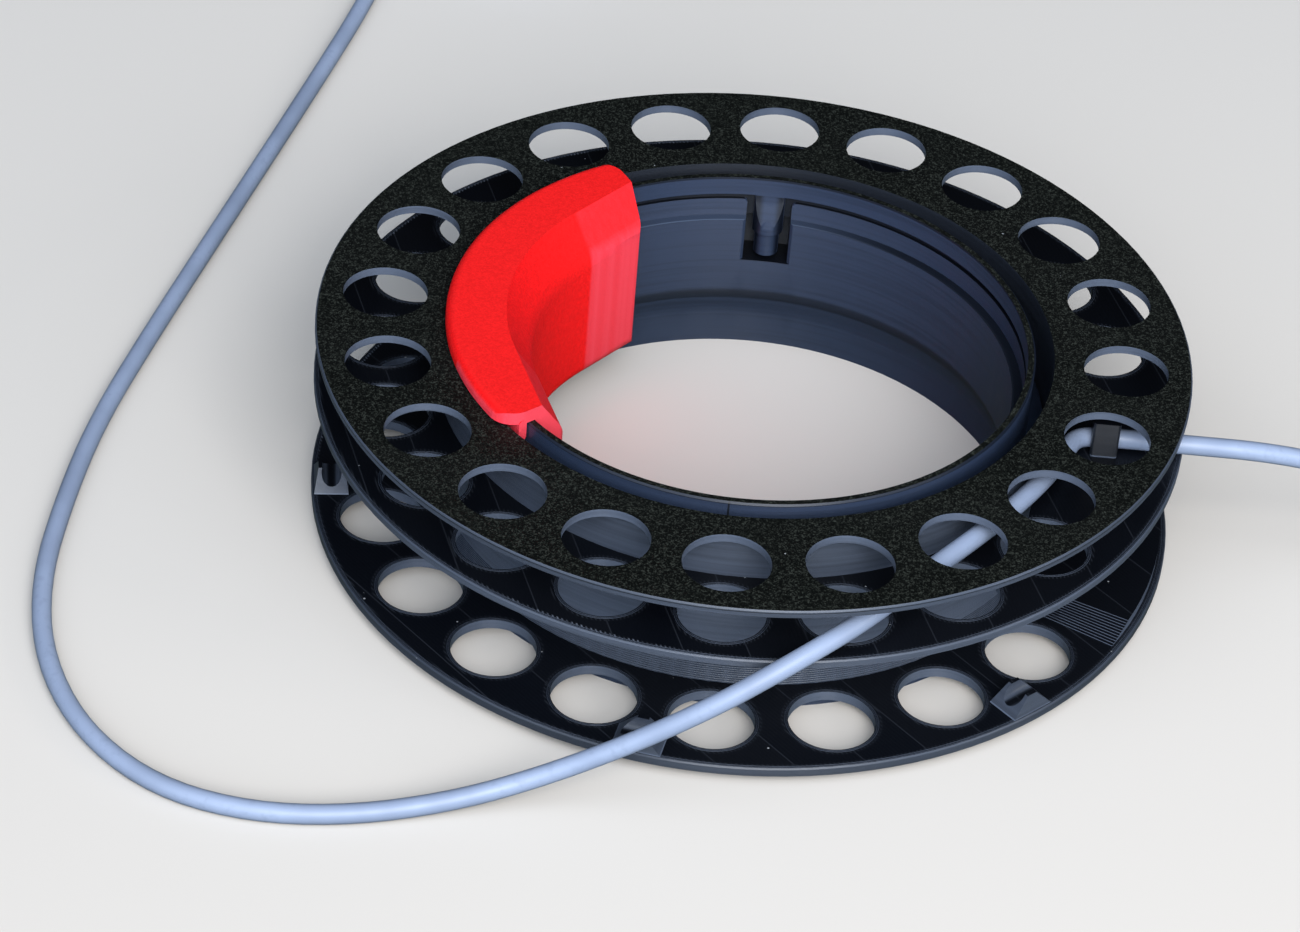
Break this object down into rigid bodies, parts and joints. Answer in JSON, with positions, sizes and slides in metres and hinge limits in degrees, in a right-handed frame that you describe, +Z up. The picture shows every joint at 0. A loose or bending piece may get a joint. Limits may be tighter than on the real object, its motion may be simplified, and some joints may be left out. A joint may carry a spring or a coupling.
{
  "type": "cable reel",
  "caption": "Flat printed cable reel: three perforated flanges on a turning hub with a red cable guide, and a network cable held between two of them.",
  "frame": {"origin": "centre of the underside of the hub's foot, on the reel's axis, at ground level", "axes": "+Z up along the reel's axis, +X to the right and +Y away from the front as the reel is seen in the picture"},
  "size_m": [0.5208, 0.517, 0.0658],
  "materials": {
    "smooth_black": "satin, fine printed lines",
    "textured_black": "matt, granular print plate texture",
    "red_plastic": "matt, fine grain",
    "cable_jacket": "satin extruded jacket",
    "boot_plastic": "moulded, matt",
    "clear_plastic": "clear moulded"
  },
  "bodies": {
    "spool": {"bottom_flange": "smooth_black", "middle_flange": "smooth_black", "top_flange": "textured_black", "cable_left": "cable_jacket", "coil_left": "cable_jacket", "boot_left": "boot_plastic", "plug_left": "clear_plastic", "cable_right": "cable_jacket", "coil_right": "cable_jacket", "boot_right": "boot_plastic", "plug_right": "clear_plastic"},
    "hub": {"hub_sleeve": "smooth_black", "hub_ring": "textured_black", "rim_guide": "red_plastic"}
  },
  "joints": [
    {"name": "hub_turn", "type": "hinge", "parent": "spool", "child": "hub", "pos_m": [0, 0, 0.03], "axis": [0, 0, 1], "continuous": true}
  ]
}
